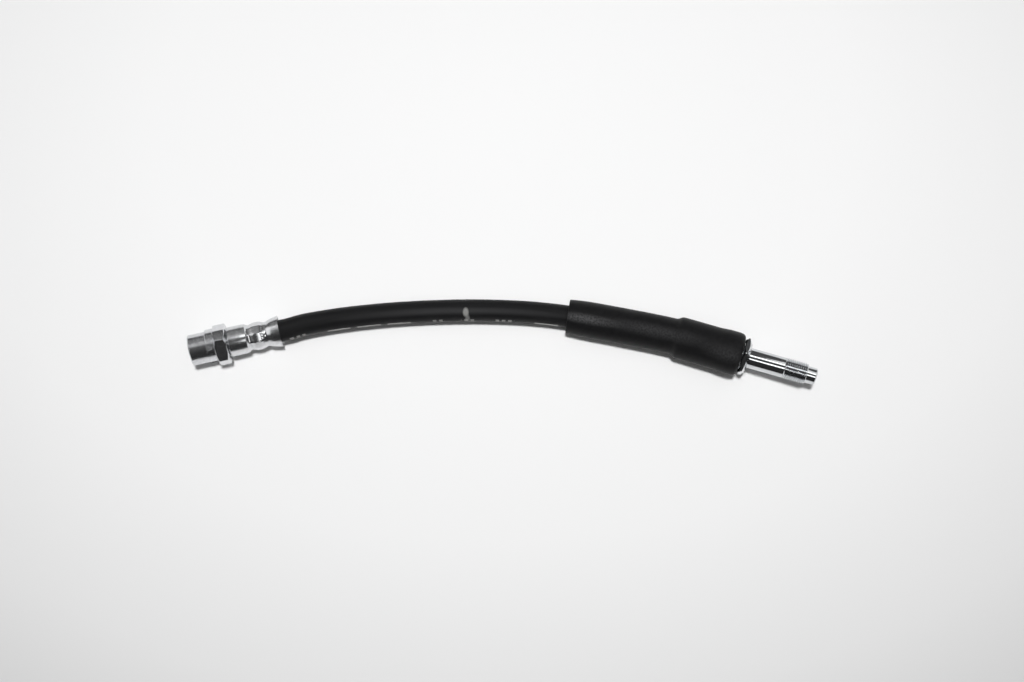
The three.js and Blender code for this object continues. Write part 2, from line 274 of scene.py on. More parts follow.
def unrolled(tree, radius):
    """A point's straight place, and its place on a tube's surface laid flat.

    Both are in mm. The second is along the tube, and round it from its upper side.
    """
    place = add(tree, "ShaderNodeAttribute", attribute_name="straight").outputs["Vector"]
    parts = add(tree, "ShaderNodeSeparateXYZ", {0: place})
    turn = add(tree, "ShaderNodeMath", {0: parts.outputs["Y"], 1: parts.outputs["Z"]},
               operation="ARCTAN2")
    around = add(tree, "ShaderNodeMath", {0: turn.outputs[0], 1: radius}, operation="MULTIPLY")
    flat = add(tree, "ShaderNodeCombineXYZ", {0: parts.outputs["X"], 1: around.outputs[0]})
    return place, flat.outputs[0]


def patch(tree, flat, middle, half, edge, rounded):
    """1 on one spot of a flat surface and 0 beside it, with a soft edge."""
    offset = add(tree, "ShaderNodeVectorMath", {0: flat, 1: (*middle, 0)}, operation="SUBTRACT")
    share = add(tree, "ShaderNodeVectorMath", {0: offset.outputs[0], 1: (*half, 1)},
                operation="DIVIDE")
    if rounded:
        length = add(tree, "ShaderNodeVectorMath", {0: share.outputs[0]}, operation="LENGTH")
        reach = length.outputs["Value"]
    else:
        size = add(tree, "ShaderNodeVectorMath", {0: share.outputs[0]}, operation="ABSOLUTE")
        sides = add(tree, "ShaderNodeSeparateXYZ", {0: size.outputs[0]})
        reach = add(tree, "ShaderNodeMath", {0: sides.outputs["X"], 1: sides.outputs["Y"]},
                    operation="MAXIMUM").outputs[0]
    soft = {0: reach, 1: 1 + edge, 2: 1 - edge, 3: 0.0, 4: 1.0}
    return add(tree, "ShaderNodeMapRange", soft).outputs[0]


def cover(tree, colour, mask, code):
    """Lays a colour over another where the mask is."""
    inputs = {0: mask, 6: colour, 7: linear(code)}
    return add(tree, "ShaderNodeMix", inputs, data_type="RGBA").outputs[2]


def times(tree, mask, other):
    """A mask thinned by another mask or by a number."""
    return add(tree, "ShaderNodeMath", {0: mask, 1: other}, operation="MULTIPLY").outputs[0]


# Places on a rubber surface laid flat are in mm: first along it, then round it from its upper side.
# Print on the hose: from and to along it. Bars are plain, and rows are short upright dashes.
PRINT_BARS = [(21.5, 32.0), (35.2, 46.2), (49.2, 60.0), (117.4, 128.4)]
PRINT_ROWS = [(2.8, 11.5), (69.5, 75.3), (83.4, 89.4), (98.2, 107.8)]
BAR_MIDDLE, BAR_HALF_HEIGHT = -8.8, 1.3
ROW_MIDDLE, ROW_HALF_HEIGHT = -8.3, 1.7
DASH_HALF_PITCH = 1.45
DASH_HALF_GAP = 0.62
# Middle and half size of the painted highlight along the hose, and of the paint dab and its smear
PAINTED_HIGHLIGHT = ((82, -2.1), (38, 1.2))
DAB = ((85.5, -2.7), (1.2, 2.0))
SMEAR = ((86.3, -6.4), (1.0, 2.6))
SMEAR_STRENGTH = 0.35


def hose_rubber():
    # Extruded EPDM rubber: deep black, drawn smooth along the hose, with pale ink, a paint dab and a
    # painted highlight.
    # Its clouds are 2 to 3 mm wide and eight times as long. Its real grain is too fine to show, so
    # it is drawn 0.4 mm wide.
    material, tree, shader = new_material("extruded_EPDM_rubber")
    place, flat = unrolled(tree, HOSE_RADIUS)
    drawn = add(tree, "ShaderNodeMapping", {0: place, 3: (0.12, 1, 1)}).outputs[0]
    clouds = {"Vector": drawn, "Scale": 0.45, "Detail": 4.0}
    cloudy = add(tree, "ShaderNodeTexNoise", clouds).outputs[0]
    blacks = [(0.3, "#171718"), (0.7, "#1c1c1d")]
    colour = add(tree, "ShaderNodeValToRGB", {0: cloudy}, blacks).outputs[0]
    # A painted highlight: a lighter band along the middle stretch of the hose, near its top.
    colour = cover(tree, colour, patch(tree, flat, *PAINTED_HIGHLIGHT, 0.7, True), "#333334")
    # The ink is worn in spots of about half a millimetre.
    spots = {"Vector": flat, "Scale": 2.2, "Detail": 3.0}
    worn = add(tree, "ShaderNodeTexNoise", spots).outputs[0]
    ink = add(tree, "ShaderNodeMapRange", {0: worn, 1: 0.3, 2: 0.5, 3: 0.55, 4: 1.0}).outputs[0]
    along = add(tree, "ShaderNodeSeparateXYZ", {0: flat}).outputs["X"]
    step = add(tree, "ShaderNodeMath", {0: along, 1: DASH_HALF_PITCH}, operation="PINGPONG")
    dashes = add(tree, "ShaderNodeMath", {0: step.outputs[0], 1: DASH_HALF_GAP},
                 operation="GREATER_THAN").outputs[0]
    for start, end in PRINT_BARS:
        middle, half = ((start + end) / 2, BAR_MIDDLE), ((end - start) / 2, BAR_HALF_HEIGHT)
        mask = times(tree, patch(tree, flat, middle, half, 0.06, False), ink)
        colour = cover(tree, colour, mask, "#bcbcba")
    for start, end in PRINT_ROWS:
        middle, half = ((start + end) / 2, ROW_MIDDLE), ((end - start) / 2, ROW_HALF_HEIGHT)
        mask = times(tree, times(tree, patch(tree, flat, middle, half, 0.08, False), dashes), ink)
        colour = cover(tree, colour, mask, "#8e8e8c")
    smear = times(tree, patch(tree, flat, *SMEAR, 0.35, True), SMEAR_STRENGTH)
    colour = cover(tree, colour, smear, "#b4b4b2")
    colour = cover(tree, colour, patch(tree, flat, *DAB, 0.3, True), "#8a8a88")
    tree.links.new(colour, shader.inputs["Base Color"])
    streaks = {"Vector": drawn, "Scale": 0.3, "Detail": 3.0}
    shine = add(tree, "ShaderNodeTexNoise", streaks).outputs[0]
    rough = add(tree, "ShaderNodeMapRange", {0: shine, 1: 0.35, 2: 0.65, 3: 0.42, 4: 0.56})
    tree.links.new(rough.outputs[0], shader.inputs["Roughness"])
    fine = {"Vector": drawn, "Scale": 2.5, "Detail": 3.0}
    grain = add(tree, "ShaderNodeTexNoise", fine).outputs[0]
    bump = add(tree, "ShaderNodeBump", {"Strength": 1.0, "Distance": 0.01 * MM, "Height": grain})
    tree.links.new(bump.outputs[0], shader.inputs["Normal"])
    shader.inputs["Specular IOR Level"].default_value = 0.16
    return material


# Scuffs on the sleeve with a painted highlight in them: middle, half size and colour
SLEEVE_SCUFFS_AND_HIGHLIGHT = [
    ((140, -2.6), (12, 1.6), "#4c4c4d"), ((172, -2.2), (17, 2.2), "#323233"),
    ((206, -4.0), (8, 2.2), "#303031"),
]
SLEEVE_MEAN_RADIUS = 8.0


def sleeve_rubber():
    # Moulded rubber: black and matt, pulled tight over the crimp, scuffed and with a painted
    # highlight near its top.
    # Its clouds are 2 mm wide and its scratches 0.8 mm. Its real grain is too fine to show, so it
    # is drawn 0.7 mm wide.
    material, tree, shader = new_material("moulded_black_rubber")
    place, flat = unrolled(tree, SLEEVE_MEAN_RADIUS)
    clouds = {"Vector": place, "Scale": 0.5, "Detail": 4.0}
    cloudy = add(tree, "ShaderNodeTexNoise", clouds).outputs[0]
    blacks = [(0.3, "#131314"), (0.7, "#19191a")]
    colour = add(tree, "ShaderNodeValToRGB", {0: cloudy}, blacks).outputs[0]
    scratches = {"Vector": flat, "Scale": 1.2, "Detail": 5.0}
    scratched = add(tree, "ShaderNodeTexNoise", scratches).outputs[0]
    scuff_and_sheen_range = {0: scratched, 1: 0.35, 2: 0.6, 3: 0.35, 4: 1.0}
    scuff_and_sheen_mask = add(tree, "ShaderNodeMapRange", scuff_and_sheen_range).outputs[0]
    # Scuffs and a painted highlight: lighter patches near the top of the sleeve, broken up by
    # scratches.
    for middle, half, code in SLEEVE_SCUFFS_AND_HIGHLIGHT:
        mask = times(tree, patch(tree, flat, middle, half, 0.7, True), scuff_and_sheen_mask)
        colour = cover(tree, colour, mask, code)
    tree.links.new(colour, shader.inputs["Base Color"])
    shader.inputs["Roughness"].default_value = 0.5
    fine = {"Vector": place, "Scale": 1.4, "Detail": 4.0}
    grain = add(tree, "ShaderNodeTexNoise", fine).outputs[0]
    bump = add(tree, "ShaderNodeBump", {"Strength": 1.0, "Distance": 0.02 * MM, "Height": grain})
    tree.links.new(bump.outputs[0], shader.inputs["Normal"])
    shader.inputs["Specular IOR Level"].default_value = 0.16
    return material


def plated_steel(name, dark, light, roughness, grain_mm, bump_mm):
    # Zinc plated steel: silvery and faintly cloudy. The real grain of the plating is too fine to
    # show, so its clouds and its relief are drawn as coarse as grain_mm.
    material, tree, shader = new_material(name)
    place = add(tree, "ShaderNodeAttribute", attribute_name="straight").outputs["Vector"]
    clouds = {"Vector": place, "Scale": 1 / grain_mm, "Detail": 4.0}
    cloudy = add(tree, "ShaderNodeTexNoise", clouds).outputs[0]
    silvers = [(0.35, dark), (0.65, light)]
    colour = add(tree, "ShaderNodeValToRGB", {0: cloudy}, silvers).outputs[0]
    tree.links.new(colour, shader.inputs["Base Color"])
    shader.inputs["Metallic"].default_value = 1.0
    shader.inputs["Roughness"].default_value = roughness
    relief = {"Strength": 1.0, "Distance": bump_mm * MM, "Height": cloudy}
    bump = add(tree, "ShaderNodeBump", relief).outputs[0]
    tree.links.new(bump, shader.inputs["Normal"])
    return material


def deselect():
    """Leaves edit mode and selects nothing."""
    if bpy.context.object and bpy.context.object.mode != "OBJECT":
        bpy.ops.object.mode_set(mode="OBJECT")
    bpy.ops.object.select_all(action="DESELECT")


def choose(piece):
    """Makes one piece the active one, and the only one selected."""
    deselect()
    piece.select_set(True)
    bpy.context.view_layer.objects.active = piece


def turned(name, outline, sides, closed=False):
    """A circle drawn out ring by ring through (place on X, radius), as on a lathe."""
    deselect()
    (start, radius), *rest = outline
    bpy.ops.mesh.primitive_circle_add(vertices=sides, radius=radius, location=(start, 0, 0),
                                      rotation=(0, math.pi / 2, 0),
                                      fill_type="NOTHING" if closed else "NGON")
    piece = bpy.context.object
    piece.name = name
    bpy.ops.object.transform_apply(location=True, rotation=True, scale=True)
    bpy.ops.object.mode_set(mode="EDIT")
    bpy.ops.mesh.select_all(action="SELECT")
    for x, next_radius in rest:
        bpy.ops.mesh.extrude_region_move(TRANSFORM_OT_translate={"value": (x - start, 0, 0)})
        grow = next_radius / radius
        if abs(grow - 1) > 1e-9:
            bpy.ops.transform.resize(value=(1, grow, grow), center_override=(x, 0, 0))
        start, radius = x, next_radius
    bpy.ops.mesh.select_all(action="SELECT")
    bpy.ops.mesh.remove_doubles(threshold=WELD)
    bpy.ops.mesh.normals_make_consistent(inside=False)
    bpy.ops.object.mode_set(mode="OBJECT")
    return piece


def cap(piece):
    """Closes the open end of a turned piece."""
    choose(piece)
    bpy.ops.object.mode_set(mode="EDIT")
    bpy.ops.mesh.select_all(action="SELECT")
    bpy.ops.mesh.fill_holes(sides=0)
    bpy.ops.mesh.normals_make_consistent(inside=False)
    bpy.ops.object.mode_set(mode="OBJECT")


def turned_solid(name, outline, sides=FITTING_SIDES):
    """A turned piece with both of its ends closed."""
    piece = turned(name, outline, sides)
    cap(piece)
    return piece


def finish(piece, kind, **settings):
    """Adds a modifier and applies it."""
    choose(piece)
    modifier = piece.modifiers.new(kind.lower(), kind)
    for name, value in settings.items():
        setattr(modifier, name, value)
    bpy.ops.object.modifier_apply(modifier=modifier.name)


def combine(piece, other, operation):
    """Joins, cuts or keeps the common part, and takes the other piece away."""
    finish(piece, "BOOLEAN", object=other, operation=operation, solver="EXACT")
    bpy.data.objects.remove(other)


def remember_straight(piece):
    """Keeps each point's place before the piece is bent or laid, for its patterns."""
    places = piece.data.attributes.new("straight", "FLOAT_VECTOR", "POINT")
    for place, vertex in zip(places.data, piece.data.vertices):
        place.vector = vertex.co


def lay(piece, matrix, material, node):
    """Lays a finished piece at its place and hands it to the frame."""
    piece.data.transform(matrix)
    choose(piece)
    bpy.ops.object.shade_smooth_by_angle(angle=SMOOTH_ANGLE)
    piece.data.materials.clear()
    piece.data.materials.append(material)
    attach(piece, "root")
    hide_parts(node)


def bend(piece):
    """Carries a straight piece over to the middle line of the hose."""
    for vertex in piece.data.vertices:
        point, along = route_at(vertex.co.x)
        x, y = point.x - along.y * vertex.co.y, point.y + along.x * vertex.co.y
        vertex.co = (x, y, vertex.co.z)


def fitting_matrix(station, inward):
    """Where a fitting lies, with its hexagon at that station. It points into the hose."""
    point, along = route_at(station)
    turn = math.atan2(along.y * inward, along.x * inward)
    seat = Matrix.Translation((point.x, point.y, 0)) @ Matrix.Rotation(turn, 4, "Z")
    return LYING @ seat @ Matrix.Rotation(inward * math.radians(FITTING_TURN), 4, "X")


def rows_to(outline, x, rows):
    """Runs an outline on level to x in even rows, so that it can follow a bend."""
    start, radius = outline[-1]
    outline += [(start + (x - start) * row / rows, radius) for row in range(1, rows + 1)]


def uniform_line(points, steps):
    """A plain Catmull-Rom curve through points, as the CAD's spline draws it."""
    line = []
    last = len(points) - 1
    for number in range(last * steps + 1):
        p = last * number / (last * steps)
        i = min(int(p), last)
        w = p - i
        near = (max(i - 1, 0), i, min(i + 1, last), min(i + 2, last))
        a, b, c, d = (points[n] for n in near)
        line.append(tuple(
            (2 * b[k] - 2 * c[k] + (c[k] - a[k]) / 2 + (d[k] - b[k]) / 2) * w ** 3
            + (-3 * b[k] + 3 * c[k] - (c[k] - a[k]) - (d[k] - b[k]) / 2) * w ** 2
            + (c[k] - a[k]) / 2 * w + b[k]
            for k in (0, 1)
        ))
    return line


def crimp_line():
    """The crimped wall of a ferrule from the plain cup to the flared mouth."""
    flare = (CUP_END + WAIST_AT + FERRULE_MOUTH) / 2 - FLARE_BACK
    points = [
        (CUP_END, FERRULE_RADIUS), (CUP_END + CRIMP_AT, CRIMP_RADIUS),
        (CUP_END + CROWN_FROM, CROWN_RADIUS), (CUP_END + CROWN_TO, CROWN_RADIUS),
        (CUP_END + WAIST_AT, WAIST_RADIUS), (flare, (WAIST_RADIUS + FLARE_RADIUS) / 2),
        (FERRULE_MOUTH, FLARE_RADIUS),
    ]
    return uniform_line(points, CRIMP_STEPS)


def press_flats(piece):
    """The crimping dies leave flats side by side round the wall."""
    die = 2 * math.pi / CRIMP_FLATS
    for vertex in piece.data.vertices:
        x, y, z = vertex.co
        if not CUP_END + FLATS_FROM <= x <= CUP_END + FLATS_TO:
            continue
        turn = math.atan2(z, y) / die
        off = (turn - round(turn)) * die
        share = min(1.0, (1 - FLAT_DEPTH) / math.cos(off))
        vertex.co = (x, y * share, z * share)


def make_ferrule(name):
    """The crimped shell: out along its base, cup and crimped wall, and back along the inside."""
    wall = crimp_line()
    inner = FERRULE_RADIUS - FERRULE_WALL
    outline = [(FIT, NECK_RADIUS + FIT), (FIT, FERRULE_RADIUS - FERRULE_EDGE)]
    for step in range(1, EDGE_STEPS + 1):
        t = step / EDGE_STEPS
        drop = FERRULE_EDGE * (1 - t) ** 2
        outline.append((FIT + FERRULE_EDGE * t * t, FERRULE_RADIUS - drop))
    outline += [(CUP_END - back, FERRULE_RADIUS - drop) for back, drop in CUP_DRAWN_IN]
    outline += wall[1:]
    outline += [(x, r - FERRULE_WALL) for x, r in reversed(wall)]
    base = FIT + FERRULE_BASE
    outline += [(base, inner), (base, NECK_RADIUS + FIT), outline[0]]
    piece = turned(name, outline, FERRULE_SIDES, closed=True)
    press_flats(piece)
    return piece


def make_hose():
    """The tube, pressed in by both crimps. Its bore is wider where the nipples sit in it."""
    pressed = [r * (1 - FLAT_DEPTH) - FERRULE_WALL - FIT for x, r in crimp_line()]
    wall = [(x, min(HOSE_RADIUS, r)) for (x, _), r in zip(crimp_line(), pressed)]
    start, end = HOSE_END - FERRULE_MOUTH, PLUG_STATION - HOSE_END
    outline = [(start, HOSE_GRIP_RADIUS), (start, HOSE_RADIUS)]
    outline += [(x - FERRULE_MOUTH, r) for x, r in wall]
    outline += [(ROUTE_LENGTH * row / HOSE_ROWS, HOSE_RADIUS) for row in range(1, HOSE_ROWS)]
    outline += [(PLUG_STATION - x, r) for x, r in reversed(wall)]
    outline += [(end, HOSE_RADIUS), (end, HOSE_GRIP_RADIUS)]
    outline += [(PLUG_STATION - NIPPLE_END - FIT, HOSE_GRIP_RADIUS)]
    outline += [(ROUTE_LENGTH + BORE_PAST_MOUTH, HOSE_BORE_RADIUS)]
    rows_to(outline, -BORE_PAST_MOUTH, BORE_ROWS)
    outline += [(NIPPLE_END + FIT - FERRULE_MOUTH, HOSE_GRIP_RADIUS), outline[0]]
    return turned("hose_tube", outline, HOSE_SIDES, closed=True)


def curve_from(p0, p1, p2, p3, steps):
    """A Bezier arc without its first point."""
    arc = []
    for step in range(1, steps + 1):
        t = step / steps
        weights = ((1 - t) ** 3, 3 * t * (1 - t) ** 2, 3 * t * t * (1 - t), t ** 3)
        arc.append(tuple(sum(w * p[k] for w, p in zip(weights, (p0, p1, p2, p3))) for k in (0, 1)))
    return arc


def quarter(p0, corner, p2, steps):
    """An arc that rounds a corner, without its first point."""
    arc = []
    for step in range(1, steps + 1):
        t = step / steps
        weights = ((1 - t) ** 2, 2 * t * (1 - t), t * t)
        arc.append(tuple(sum(w * p[k] for w, p in zip(weights, (p0, corner, p2))) for k in (0, 1)))
    return arc


def make_sleeve():
    """The sleeve: out from its mouth, over the step above the ferrule, round the lip and back."""
    end = PLUG_STATION - FIT
    mouth = end - SLEEVE_LENGTH
    step = ROUTE_LENGTH - STEP_AHEAD
    step_start, step_end = step - STEP_LENGTH / 2, step + STEP_LENGTH / 2
    hug = HOSE_RADIUS + FIT
    stretched = FLARE_RADIUS + FIT
    thin = hug + SLEEVE_WALL
    full = thin + SLEEVE_SWELL
    bulge = stretched + STRETCHED_WALL
    tall = bulge + HEEL
    lip = end - LIP_LENGTH
    heel = lip - HEEL_LENGTH
    outline = [(mouth, hug), (mouth, thin - SLEEVE_EDGE)]
    outline += quarter(outline[-1], (mouth, thin), (mouth + SLEEVE_EDGE, thin), 4)
    outline += quarter(outline[-1], (mouth + SLEEVE_TAPER / 2, full), (mouth + SLEEVE_TAPER, full), 6)
    rows_to(outline, step_start, 16)
    outline += curve_from((step_start, full), (step, full), (step, bulge), (step_end, bulge), 12)
    rows_to(outline, heel, 8)
    outline += [(heel + HEEL_LENGTH / 2, tall), (lip, tall)]
    outline += quarter((lip, tall), (end, tall), (end, stretched + SLEEVE_EDGE), 12)
    outline += [(end, stretched)]
    rows_to(outline, step_end, 14)
    outline += [(step_start, hug)]
    rows_to(outline, mouth, 20)
    return turned("rubber_sleeve", outline, SLEEVE_SIDES, closed=True)


def eased(outline):
    """Rounds each corner of an outline a little, as plating and tumbling leave it."""
    least_cut = 0.02
    least_turn = math.radians(8)
    points = [outline[0]]
    for before, corner, after in zip(outline, outline[1:], outline[2:]):
        back, ahead = Vector(before) - Vector(corner), Vector(after) - Vector(corner)
        cut = min(EASED_EDGE, back.length / 3, ahead.length / 3)
        if back.angle(-ahead) < least_turn or cut < least_cut:
            points.append(corner)
            continue
        start, end = (tuple(Vector(corner) + way.normalized() * cut) for way in (back, ahead))
        points += [start, *quarter(start, corner, end, 3)]
    return [*points, outline[-1]]


def make_hexagon(across, length, face, front, milled=None):
    """A hexagon with a corner up, bevelled at 30 degrees on both faces.

    Its faces are round, with the radius front on the outer one and face on the one to the hose.
    One corner may be milled to a flat.
    """
    corner = across / 2 / math.cos(math.pi / 6)
    deselect()
    bpy.ops.mesh.primitive_cylinder_add(vertices=6, radius=corner, depth=length)
    hexagon = bpy.context.object
    bpy.ops.object.transform_apply(location=True, rotation=True, scale=True)
    upright = Matrix.Rotation(math.pi / 2, 4, "X") @ Matrix.Rotation(math.pi / 2, 4, "Y")
    hexagon.data.transform(Matrix.Translation((-length / 2, 0, 0)) @ upright)
    if milled:
        half_height = 5.0
        deselect()
        bpy.ops.mesh.primitive_cube_add(size=2)
        block = bpy.context.object
        block.data.transform(
            Matrix.Rotation(-math.pi / 3, 4, "X")
            @ Matrix.Translation((0, 0, milled + half_height))
            @ Matrix.Diagonal((2 * length, 2 * half_height, half_height, 1)))
        combine(hexagon, block, "DIFFERENCE")
    for edge in hexagon.data.edges:
        start, end = (hexagon.data.vertices[i].co for i in edge.vertices)
        edge.select = abs(start.x - end.x) > length / 2
    bpy.ops.object.mode_set(mode="EDIT")
    bpy.ops.mesh.select_mode(type="EDGE")
    bpy.ops.mesh.bevel(offset=HEX_EDGE, segments=3)
    bpy.ops.object.mode_set(mode="OBJECT")
    slope = HEX_BEVEL_SLOPE
    clear = corner + 0.01
    blank = turned_solid("blank", [
        (-length - OVERCUT, front - OVERCUT / slope), (-length + (corner - front) * slope, clear),
        (-(corner - face) * slope, clear), (OVERCUT, face - OVERCUT / slope),
    ])
    combine(hexagon, blank, "INTERSECT")
    return hexagon


def add_nipple(outline):
    """Goes on along the neck and the barbed nipple, which are the same on both fittings."""
    outline += [(NECK_LENGTH, NECK_RADIUS), (NECK_LENGTH, NIPPLE_RADIUS)]
    for barb in range(BARB_COUNT):
        foot = FIRST_BARB + barb * BARB_PITCH
        outline += [(foot, NIPPLE_RADIUS), (foot, NIPPLE_RADIUS + BARB_HEIGHT)]
        outline += [(foot + BARB_LENGTH, NIPPLE_RADIUS)]
    outline += [(NIPPLE_END - NIPPLE_LEAD, NIPPLE_RADIUS), (NIPPLE_END, NIPPLE_TIP_RADIUS)]


def thread_ridge(start, end, root, crest):
    """One helical ridge of a 60 degree thread from start to end along X."""
    deselect()
    bpy.ops.mesh.primitive_plane_add(size=1)
    ridge = bpy.context.object
    sunk = root - RIDGE_SUNK
    foot = RIDGE_TOP + (crest - root + RIDGE_SUNK) * math.tan(math.pi / 6)
    corners = [(-foot, sunk), (foot, sunk), (RIDGE_TOP, crest), (-RIDGE_TOP, crest)]
    for vertex, (x, z) in zip((ridge.data.vertices[i] for i in (0, 1, 3, 2)), corners):
        vertex.co = (start + x, 0, z)
    turns = math.ceil((end - start) / THREAD_PITCH)
    finish(ridge, "SCREW", axis="X", angle=2 * math.pi, screw_offset=THREAD_PITCH,
           iterations=turns, steps=THREAD_STEPS, render_steps=THREAD_STEPS,
           use_merge_vertices=False, use_smooth_shade=False)
    choose(ridge)
    bpy.ops.object.mode_set(mode="EDIT")
    bpy.ops.mesh.select_all(action="SELECT")
    bpy.ops.mesh.remove_doubles(threshold=THREAD_WELD)
    bpy.ops.mesh.fill_holes(sides=4)
    bpy.ops.mesh.normals_make_consistent(inside=False)
    bpy.ops.object.mode_set(mode="OBJECT")
    return ridge


def collar_recess(collar):
    """A quarter ring that mills the collar back nearly to the barrel."""
    reach = COLLAR_RADIUS + OVERCUT
    front, back = collar - OVERCUT, -SOCKET_HEX_LENGTH
    ring = turned("ring", [
        (front, RECESS_RADIUS), (front, reach), (back, reach), (back, RECESS_RADIUS),
        (front, RECESS_RADIUS),
    ], FITTING_SIDES, closed=True)
    deselect()
    bpy.ops.mesh.primitive_cube_add(size=2)
    quarter_block = bpy.context.object
    quarter_block.data.transform(
        Matrix.Rotation(math.radians(RECESS_FROM), 4, "X")
        @ Matrix.Translation((collar, -reach, reach)) @ Matrix.Diagonal((10, reach, reach, 1)))
    combine(ring, quarter_block, "INTERSECT")
    return ring


def collar_key(collar):
    """A short slot with a round end."""
    height = COLLAR_RADIUS - RECESS_RADIUS + OVERCUT
    middle = RECESS_RADIUS + height / 2
    end = collar + KEY_LENGTH - KEY_WIDTH / 2
    deselect()
    bpy.ops.mesh.primitive_cylinder_add(vertices=32, radius=KEY_WIDTH / 2, depth=height,
                                        location=(end, 0, middle))
    key = bpy.context.object
    bpy.ops.object.transform_apply(location=True, rotation=True, scale=True)
    deselect()
    front = collar - OVERCUT
    bpy.ops.mesh.primitive_cube_add(size=1, location=((end + front) / 2, 0, middle),
                                    scale=(end - front, KEY_WIDTH, height))
    opening = bpy.context.object
    bpy.ops.object.transform_apply(location=True, rotation=True, scale=True)
    combine(key, opening, "UNION")
    key.data.transform(Matrix.Rotation(math.radians(KEY_ANGLE), 4, "X"))
    return key


def make_socket_body():
    """The socket end's one steel piece: barrel, keyed collar, hexagon, threaded bore and nipple."""
    collar = -(SOCKET_HEX_LENGTH + COLLAR_LENGTH)
    outline = [
        (SOCKET_FACE, BARREL_RADIUS - BARREL_EDGE), (SOCKET_FACE + BARREL_EDGE, BARREL_RADIUS),
        (collar, BARREL_RADIUS), (collar, COLLAR_RADIUS - COLLAR_EDGE),
        (collar + COLLAR_EDGE, COLLAR_RADIUS), (-SOCKET_HEX_LENGTH + DEEP_INSIDE, COLLAR_RADIUS),
        (-SOCKET_HEX_LENGTH + DEEP_INSIDE, NECK_RADIUS),
    ]
    add_nipple(outline)
    body = turned_solid("socket_body", eased(outline))
    combine(body, collar_recess(collar), "DIFFERENCE")
    combine(body, collar_key(collar), "DIFFERENCE")
    hexagon = make_hexagon(
        SOCKET_HEX, SOCKET_HEX_LENGTH, SOCKET_HEX_FACE, SOCKET_HEX_FACE, MILLED_CORNER)
    combine(body, hexagon, "UNION")
    front, seat = SOCKET_FACE - OVERCUT, SOCKET_FACE + SOCKET_DEPTH
    bore = turned_solid("bore", [
        (front, SOCKET_RADIUS + SOCKET_LEAD_IN + OVERCUT),
        (SOCKET_FACE + SOCKET_LEAD_IN, SOCKET_RADIUS), (seat, SOCKET_RADIUS),
        (seat + SOCKET_RADIUS - PASSAGE_RADIUS, PASSAGE_RADIUS),
        (NIPPLE_END + OVERCUT, PASSAGE_RADIUS),
    ])
    thread = thread_ridge(front, seat - OVERCUT, SOCKET_RADIUS, SOCKET_GROOVE_RADIUS)
    combine(bore, thread, "UNION")
    combine(body, bore, "DIFFERENCE")
    return body


def make_plug_body():
    """The plug end's one steel piece: point, thread, shank, hexagon, nipple and passage."""
    outline = [
        (PLUG_FACE, POINT_RADIUS - POINT_BEVEL_DEPTH),
        (PLUG_FACE + POINT_BEVEL_LENGTH, POINT_RADIUS), (THREAD_END, POINT_RADIUS),
        (THREAD_END, THREAD_ROOT), (THREAD_START, THREAD_ROOT), (THREAD_START, SHANK_RADIUS),
        (-PLUG_HEX_LENGTH + DEEP_INSIDE, SHANK_RADIUS),
        (-PLUG_HEX_LENGTH + DEEP_INSIDE, NECK_RADIUS),
    ]
    add_nipple(outline)
    body = turned_solid("plug_body", eased(outline))
    hexagon = make_hexagon(PLUG_HEX, PLUG_HEX_LENGTH, PLUG_HEX_FACE, PLUG_HEX_FRONT)
    combine(body, hexagon, "UNION")
    ridge = thread_ridge(THREAD_END - OVERCUT, THREAD_START + OVERCUT, THREAD_ROOT, THREAD_RADIUS)
    blank = turned_solid("blank", [
        (THREAD_END, THREAD_RADIUS - THREAD_EDGE), (THREAD_END + THREAD_EDGE, THREAD_RADIUS),
        (THREAD_START - THREAD_EDGE, THREAD_RADIUS), (THREAD_START, SHANK_RADIUS),
    ])
    combine(ridge, blank, "INTERSECT")
    combine(body, ridge, "UNION")
    passage = turned_solid("passage", [
        (PLUG_FACE - OVERCUT, PASSAGE_RADIUS + OVERCUT + PASSAGE_LEAD_IN),
        (PLUG_FACE + PASSAGE_LEAD_IN, PASSAGE_RADIUS), (NIPPLE_END + OVERCUT, PASSAGE_RADIUS),
    ], PASSAGE_SIDES)
    combine(body, passage, "DIFFERENCE")
    return body


socket_steel = plated_steel("zinc_plated_turned_steel", "#c8c9cc", "#dcdddf", 0.22, 1.2, 0.05)
ferrule_steel = plated_steel("zinc_plated_pressed_steel", "#cfd0d2", "#dedfe1", 0.24, 1.5, 0.035)
plug_steel = plated_steel("bright_zinc_plated_steel", "#cdcfd1", "#dadcde", 0.11, 2.5, 0.004)

hose = make_hose()
remember_straight(hose)
bend(hose)
lay(hose, LYING, hose_rubber(), "hose")

sleeve = make_sleeve()
remember_straight(sleeve)
bend(sleeve)
lay(sleeve, LYING, sleeve_rubber(), "protective_sleeve")

socket_matrix = fitting_matrix(-FERRULE_MOUTH, 1)
plug_matrix = fitting_matrix(PLUG_STATION, -1)

socket_body = make_socket_body()
remember_straight(socket_body)
lay(socket_body, socket_matrix, socket_steel, "socket_end_body")

ferrule = make_ferrule("crimped_ferrule")
remember_straight(ferrule)
lay(ferrule, socket_matrix, ferrule_steel, "socket_end_ferrule")

plug_body = make_plug_body()
remember_straight(plug_body)
lay(plug_body, plug_matrix, plug_steel, "plug_end_body")

# The sleeve hides the other ferrule, which stays as the frame has it.
hidden_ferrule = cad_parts["plug_end_ferrule"]
hidden_ferrule.data.materials.clear()
hidden_ferrule.data.materials.append(ferrule_steel)

